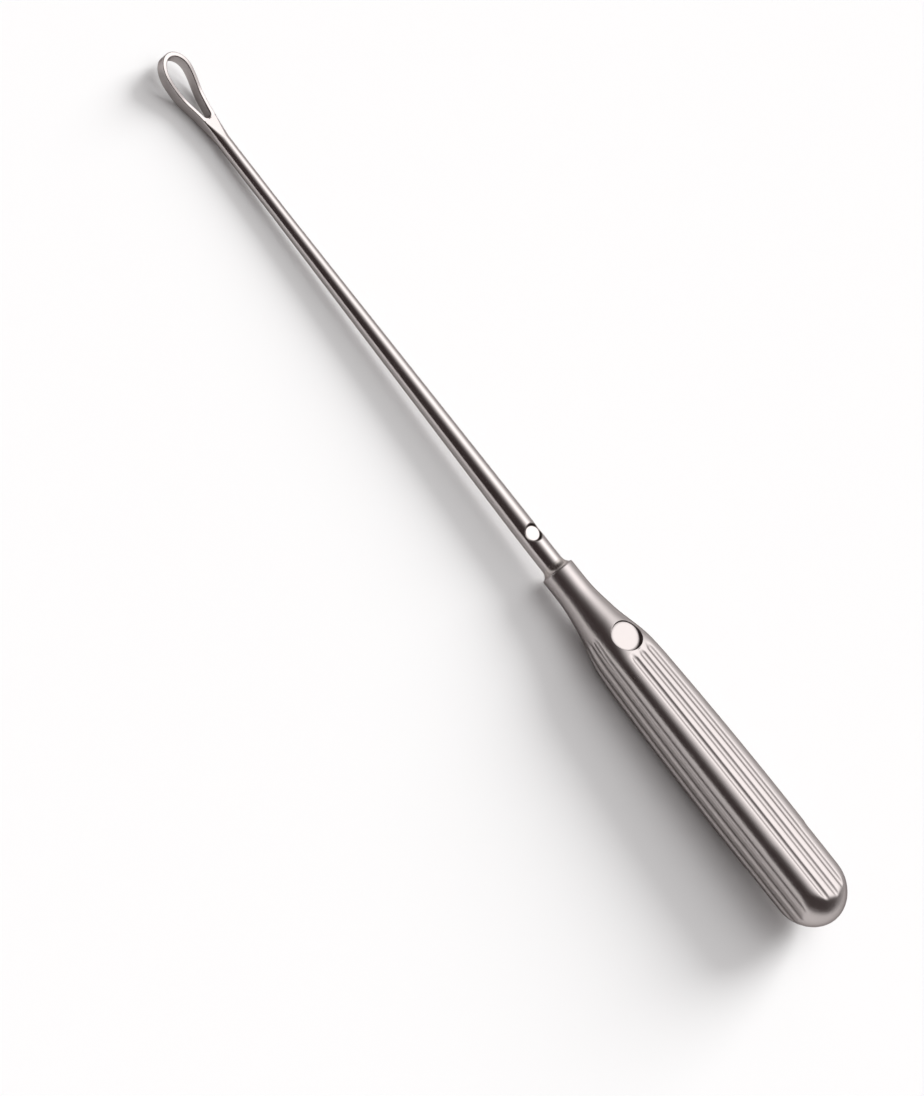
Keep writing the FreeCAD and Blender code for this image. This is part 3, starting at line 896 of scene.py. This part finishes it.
def handle_tree(sizes, placing, material):
    """Geometry Nodes tree that puts each point of the handle's plain skin where its rule says."""
    group = bpy.data.node_groups.new("curette_handle_shape", "GeometryNodeTree")
    group.interface.new_socket("Geometry", in_out="INPUT", socket_type="NodeSocketGeometry")
    group.interface.new_socket("Geometry", in_out="OUTPUT", socket_type="NodeSocketGeometry")
    for name in sizes:
        group.interface.new_socket(name, in_out="INPUT", socket_type="NodeSocketFloat")
    tree = NodeTree(group)
    given = tree.node("NodeGroupInput")
    size = {name: Term(tree, given.outputs[name]) for name in sizes}

    def stored(name):
        node = tree.node("GeometryNodeInputNamedAttribute", {"data_type": "FLOAT"}, {"Name": name})
        return tree.term(node, "Attribute")

    along, around, across, is_across, drop, own_radius = [stored(name) for name in POINT_ATTRIBUTES]
    half_width, half_thickness, power = section_sizes(size, along)
    ruled = outer_radius(size, along, around, half_width, half_thickness, power)
    has_own = own_radius.apply("GREATER_THAN", 0.0)
    radius = ruled + (own_radius - ruled) * has_own
    beside = (size_of(across) / half_width) ** power
    top = half_thickness * at_least(1.0 - beside, 0.0) ** (1.0 / power)
    sunk = top + (size["spot_floor"] - top) * drop
    y = radius * cosine(around)
    z = radius * sine(around)
    place = tree.node("ShaderNodeCombineXYZ", None, {
        "X": along,
        "Y": y + (across - y) * is_across,
        "Z": z + (sunk - z) * is_across,
    })
    moved = tree.node("GeometryNodeSetPosition", None, {
        "Geometry": given.outputs["Geometry"], "Position": place.outputs[0],
    })
    laid = tree.node("GeometryNodeTransform", None, {
        "Geometry": moved.outputs[0],
        "Translation": placing.to_translation(),
        "Rotation": placing.to_euler(),
    })
    realized = tree.node("GeometryNodeRealizeInstances", None, {"Geometry": laid.outputs[0]})
    dressed = tree.node("GeometryNodeSetMaterial", None, {
        "Geometry": realized.outputs[0], "Material": material,
    })
    tree.node("NodeGroupOutput", None, {"Geometry": dressed.outputs[0]})
    return group


def handle_angles(handle):
    """Angles round the handle, closer together across the flutes."""
    spacing = handle.flute_spacing
    flute_half = math.radians(7.5)
    fine = math.radians(1.0)
    coarse = math.radians(2.2)
    angles = []
    for face in range(4):
        facing = face * math.pi / 2
        corner = facing - math.pi / 4
        angles += even_steps(corner, facing - spacing - flute_half, coarse)
        for flute in (-1, 0, 1):
            middle = facing + flute * spacing
            angles += even_steps(middle - flute_half, middle + flute_half, fine)
            angles.append(middle + flute_half)
            if flute < 1:
                between = even_steps(middle + flute_half, middle + spacing - flute_half, coarse)
                angles += between[1:]
        angles += even_steps(facing + spacing + flute_half, facing + math.pi / 4, coarse)[1:]
    return angles


def handle_skin(handle, sizes):
    """Plain skin of the handle, with the thumb spot's rings and the socket's wall."""
    mouth = handle.mouth_at
    end = mouth + handle.handle_length
    spot = mouth + handle.spot_from_mouth
    window_start = spot - handle.spot_diameter / 2 - SPOT_MARGIN
    window_end = sizes["top_flute_start"]
    run_in_end = window_end + CLOSE_STRETCH
    dome_front = sizes["dome_start"] - CLOSE_STRETCH
    lip_steps = 8
    dome_steps = 44
    mouth_chamfer = 0.1 * MM
    room_behind_tang = 0.2 * MM
    places = []
    for step in range(lip_steps):
        turn = math.pi / 2 * step / lip_steps
        places.append(mouth + handle.lip_radius * (1 - math.cos(turn)))
    places += even_steps(mouth + handle.lip_radius, window_start, SHOULDER_STEP)
    first = len(places)
    places += even_steps(window_start, window_end, FINE_STEP)
    last = len(places)
    places += even_steps(window_end, run_in_end, RUN_IN_STEP)
    places += even_steps(run_in_end, dome_front, GRIP_STEP)
    places += even_steps(dome_front, sizes["dome_start"], DOME_FRONT_STEP)
    for step in range(dome_steps):
        turn = math.pi / 2 * step / dome_steps
        places.append(sizes["dome_start"] + handle.dome_length * math.sin(turn))
    angles = handle_angles(handle)
    window = (first, last, *columns_on_top(angles, SPOT_REACH))
    skin = Skin()
    rows = skin.rows(places, angles, window)
    skin.close(rows[-1], end, own_radius=ON_AXIS)

    def across_at(along, around):
        return section_radius(*section_sizes(sizes, along), around) * math.cos(around)

    skin.round_hollow(rows, window, spot, handle.spot_diameter / 2, SPOT_SOFTNESS, across_at)
    bore = handle.bore_diameter / 2
    bore_end = bpy.context.scene.curette_shank.tang_end_at + room_behind_tang
    previous = rows[0]
    for along, radius in ((mouth, bore + mouth_chamfer), (mouth + mouth_chamfer, bore), (bore_end, bore)):
        ring = [skin.add(along, around, own_radius=radius) for around in angles]
        skin.join(previous, ring)
        previous = ring
    skin.close(previous, bore_end, own_radius=ON_AXIS)
    return skin


def skin_mesh(name, skin):
    """Mesh of a skin whose points keep their places along and round it as attributes."""
    mesh = bpy.data.meshes.new(name)
    mesh.from_pydata([(point[0], point[1], point[2]) for point in skin.points], [], skin.faces)
    for column, attribute in enumerate(POINT_ATTRIBUTES):
        layer = mesh.attributes.new(attribute, "FLOAT", "POINT")
        layer.data.foreach_set("value", [point[column] for point in skin.points])
    return mesh


class MESH_OT_curette_handle(bpy.types.Operator):
    """Make the hollow fluted handle with its collar, thumb spot and domed butt"""

    bl_idname = "mesh.curette_handle"
    bl_label = "Handle"

    def execute(self, context):
        handle = context.scene.curette_handle
        finish = context.scene.curette_finish
        sizes = handle_sizes(handle)
        steel = satin_steel("handle_steel", finish.steel, finish.edge, finish.handle_roughness)
        skin = handle_skin(handle, sizes)
        source = bpy.data.objects.new("handle_source", skin_mesh("handle_source", skin))
        context.scene.collection.objects.link(source)
        group = handle_tree(sizes, lie(), steel)
        modifier = source.modifiers.new("shape", "NODES")
        modifier.node_group = group
        for item in group.interface.items_tree:
            if item.in_out == "INPUT" and item.name in sizes:
                modifier[item.identifier] = sizes[item.name]
        context.view_layer.update()
        evaluated = source.evaluated_get(context.evaluated_depsgraph_get())
        mesh = bpy.data.meshes.new_from_object(evaluated)
        bpy.data.objects.remove(source)
        for attribute in POINT_ATTRIBUTES:
            mesh.attributes.remove(mesh.attributes[attribute])
        # The packed model lies on a small flat, so nothing reaches below the surface that it lies on
        for vertex in mesh.vertices:
            vertex.co.z = max(vertex.co.z, 0.0)
        finished_object("curette_handle", mesh, "hollow_handle", steel)
        return {"FINISHED"}


# Brazing filler


class MESH_OT_curette_filler(bpy.types.Operator):
    """Make the brazing filler between the shank and the handle's mouth"""

    bl_idname = "mesh.curette_filler"
    bl_label = "Brazing Filler"

    def execute(self, context):
        filler = context.scene.curette_filler
        handle = context.scene.curette_handle
        shank = context.scene.curette_shank
        inner = shank.full_diameter / 2
        rise = filler.fillet_height - filler.feather
        radius = (filler.fillet_length ** 2 + rise ** 2) / (2 * rise)
        front = handle.mouth_at - filler.fillet_length
        profile = [(front, inner)]
        steps = 16
        for step in range(steps + 1):
            run = filler.fillet_length * step / steps
            height = radius - math.sqrt(radius ** 2 - run ** 2)
            profile.append((front + run, inner + filler.feather + height))
        film_end = handle.mouth_at + filler.film_length
        profile += [
            (handle.mouth_at, handle.bore_diameter / 2),
            (film_end, handle.bore_diameter / 2),
            (film_end, inner),
        ]
        columns = 96
        placing = lie()
        vertices = []
        faces = []
        for x, reach in profile:
            for column in range(columns):
                around = 2 * math.pi * column / columns
                vertices.append(placing @ Vector((x, reach * math.cos(around), reach * math.sin(around))))
        for row in range(len(profile)):
            first = row * columns
            second = (row + 1) % len(profile) * columns
            for column in range(columns):
                after = (column + 1) % columns
                faces.append((first + column, first + after, second + after, second + column))
        mesh = bpy.data.meshes.new("braze_filler")
        mesh.from_pydata(vertices, [], faces)
        finish = context.scene.curette_finish
        silver = satin_steel("braze_silver", finish.filler, finish.edge, finish.filler_roughness)
        finished_object("curette_filler", mesh, "braze_filler", silver)
        return {"FINISHED"}


# Finishes


def satin_steel(name, base_colour, edge_colour, roughness):
    """Finely ground metal with a soft cloudiness and a faint grain along the tool."""
    dull_share = 0.965
    clear_share = 1.02
    cloud_roughness = 0.08
    grain_roughness = 0.06
    material = bpy.data.materials.new(name)
    material.use_nodes = True
    material.node_tree.nodes.clear()
    tree = NodeTree(material.node_tree)
    place = tree.node("ShaderNodeTexCoord").outputs["Object"]
    clouds = tree.node("ShaderNodeTexNoise", None, {
        "Vector": place, "Scale": 90.0, "Detail": 3.0, "Roughness": 0.6,
    })
    cloud = tree.term(clouds, "Fac")
    stretched = tree.node("ShaderNodeMapping", None, {"Vector": place, "Scale": (0.12, 1.0, 1.0)})
    grain_noise = tree.node("ShaderNodeTexNoise", None, {
        "Vector": stretched.outputs[0], "Scale": 9000.0, "Detail": 2.0, "Roughness": 0.5,
    })
    grain = tree.term(grain_noise, "Fac")
    shade = tree.node("ShaderNodeMix", {"data_type": "RGBA"}, {
        0: tree.smooth_share(cloud, 0.3, 0.7),
        6: (*[value * dull_share for value in base_colour], 1.0),
        7: (*[min(value * clear_share, 1.0) for value in base_colour], 1.0),
    })
    bump = tree.node("ShaderNodeBump", None, {"Strength": 0.12, "Distance": 0.00002, "Height": grain})
    shader = tree.node("ShaderNodeBsdfPrincipled", None, {
        "Base Color": shade.outputs[2],
        "Metallic": 1.0,
        "Specular Tint": (*edge_colour, 1.0),
        "Roughness": roughness + (cloud - 0.5) * cloud_roughness + (grain - 0.5) * grain_roughness,
        "Normal": bump.outputs[0],
    })
    tree.node("ShaderNodeOutputMaterial", None, {"Surface": shader.outputs[0]})
    return material


# Stage


class SCENE_OT_curette_stage(bpy.types.Operator):
    """Set up the camera, the pale floor and the soft light"""

    bl_idname = "scene.curette_stage"
    bl_label = "Stage"

    def execute(self, context):
        stage = context.scene.curette_stage
        self.make_camera(context, stage)
        self.make_floor(context, stage)
        self.make_light(context, stage)
        context.scene.view_settings.view_transform = "Standard"
        return {"FINISHED"}

    def make_camera(self, context, stage):
        placing = lie()
        turn = placing.to_3x3()
        along = turn @ Vector((1, 0, 0))
        facing = turn @ Vector((0, 0, 1))
        view = facing * math.cos(stage.view_tilt) - Vector((0, 1, 0)) * math.sin(stage.view_tilt)
        beside = view.cross(along)
        right = along * math.cos(stage.axis_slope) + beside * math.sin(stage.axis_slope)
        up = beside * math.cos(stage.axis_slope) - along * math.sin(stage.axis_slope)
        mouth = placing @ Vector((context.scene.curette_handle.mouth_at, 0, 0))
        middle = mouth - right * stage.mouth_right + up * stage.mouth_down
        camera_data = bpy.data.cameras.new("camera")
        camera_data.sensor_fit = "VERTICAL"
        camera_data.sensor_height = 24.0
        camera_data.lens = camera_data.sensor_height * stage.distance / stage.picture_height
        camera_data.clip_start = 0.05
        camera_data.clip_end = 100.0
        camera = bpy.data.objects.new("camera", camera_data)
        rotation = Matrix((right, up, view)).transposed().to_4x4()
        camera.matrix_world = Matrix.Translation(middle + view * stage.distance) @ rotation
        context.scene.collection.objects.link(camera)
        context.scene.camera = camera

    def make_floor(self, context, stage):
        half = stage.floor_size / 2
        corners = [(-half, -half, 0), (half, -half, 0), (half, half, 0), (-half, half, 0)]
        mesh = bpy.data.meshes.new("floor")
        mesh.from_pydata(corners, [], [(0, 1, 2, 3)])
        material = bpy.data.materials.new("pale_floor")
        material.use_nodes = True
        material.node_tree.nodes.clear()
        tree = NodeTree(material.node_tree)
        shader = tree.node("ShaderNodeBsdfDiffuse", None, {"Color": (*stage.floor_colour, 1.0)})
        tree.node("ShaderNodeOutputMaterial", None, {"Surface": shader.outputs[0]})
        mesh.materials.append(material)
        floor = bpy.data.objects.new("floor", mesh)
        context.scene.collection.objects.link(floor)

    def make_light(self, context, stage):
        """Soft sky, bright above and behind the tool and dark on the camera's side."""
        horizon_from = math.radians(45)
        horizon_full = math.radians(75)
        world = bpy.data.worlds.new("studio")
        context.scene.world = world
        world.use_nodes = True
        world.node_tree.nodes.clear()
        tree = NodeTree(world.node_tree)
        direction = tree.node("ShaderNodeTexCoord").outputs["Generated"]
        split = tree.node("ShaderNodeSeparateXYZ", None, {0: direction})
        behind = tree.term(split, "Y").apply("ARCTAN2", tree.term(split, "Z"))
        aside = (behind - stage.bright_slope) / stage.bright_spread
        endways = tree.term(split, "X") / stage.bright_reach
        strength = (-(aside * aside) - endways * endways).apply("EXPONENT") * stage.bright
        strength = strength + smooth_share(behind, horizon_from, horizon_full) * stage.horizon
        lit = tree.node("ShaderNodeCombineXYZ", None, dict(enumerate([strength] * 3)))
        whole = tree.node("ShaderNodeVectorMath", {"operation": "ADD"}, {
            0: lit.outputs[0], 1: tuple(stage.dark),
        })
        background = tree.node("ShaderNodeBackground", None, {"Color": whole.outputs[0], "Strength": 1.0})
        tree.node("ShaderNodeOutputWorld", None, {"Surface": background.outputs[0]})
        self.make_lamp(context, "low_lamp", stage.lamp, -stage.lamp_slope, stage.lamp_spread)
        self.make_lamp(context, "wide_lamp", stage.fill, stage.fill_slope, stage.fill_spread)

    def make_lamp(self, context, name, strength, slope, spread):
        """A far lamp for the floor. The steel shows only the sky and the floor."""
        lamp = bpy.data.lights.new(name, "SUN")
        lamp.energy = strength
        lamp.angle = spread
        holder = bpy.data.objects.new(name, lamp)
        holder.rotation_euler = (slope, 0.0, 0.0)
        holder.visible_glossy = False
        context.scene.collection.objects.link(holder)


class VIEW3D_PT_curette(bpy.types.Panel):
    """Sizes, finishes and pieces of the curette"""

    bl_idname = "VIEW3D_PT_curette"
    bl_label = "Curette"
    bl_space_type = "VIEW_3D"
    bl_region_type = "UI"
    bl_category = "Curette"

    def draw(self, context):
        for operator in PIECES:
            self.layout.operator(operator.bl_idname)
        for name, group in GROUPS.items():
            box = self.layout.box()
            box.label(text=group.__doc__.rstrip("."))
            settings = getattr(context.scene, name)
            for setting in group.__annotations__:
                box.prop(settings, setting)


PIECES = (
    MESH_OT_curette_shank,
    MESH_OT_curette_handle,
    MESH_OT_curette_filler,
    SCENE_OT_curette_stage,
)

GROUPS = {
    "curette_loop": CuretteLoopSizes,
    "curette_shank": CuretteShankSizes,
    "curette_handle": CuretteHandleSizes,
    "curette_filler": CuretteFillerSizes,
    "curette_finish": CuretteFinish,
    "curette_stage": CuretteStage,
}


def register():
    for name, group in GROUPS.items():
        bpy.utils.register_class(group)
        setattr(bpy.types.Scene, name, bpy.props.PointerProperty(type=group))
    for operator in PIECES:
        bpy.utils.register_class(operator)
    bpy.utils.register_class(VIEW3D_PT_curette)


def unregister():
    bpy.utils.unregister_class(VIEW3D_PT_curette)
    for operator in reversed(PIECES):
        bpy.utils.unregister_class(operator)
    for name, group in reversed(GROUPS.items()):
        delattr(bpy.types.Scene, name)
        bpy.utils.unregister_class(group)


def main():
    register()
    bpy.ops.mesh.curette_shank()
    bpy.ops.mesh.curette_handle()
    bpy.ops.mesh.curette_filler()
    bpy.ops.scene.curette_stage()


if __name__ == "__main__":
    main()
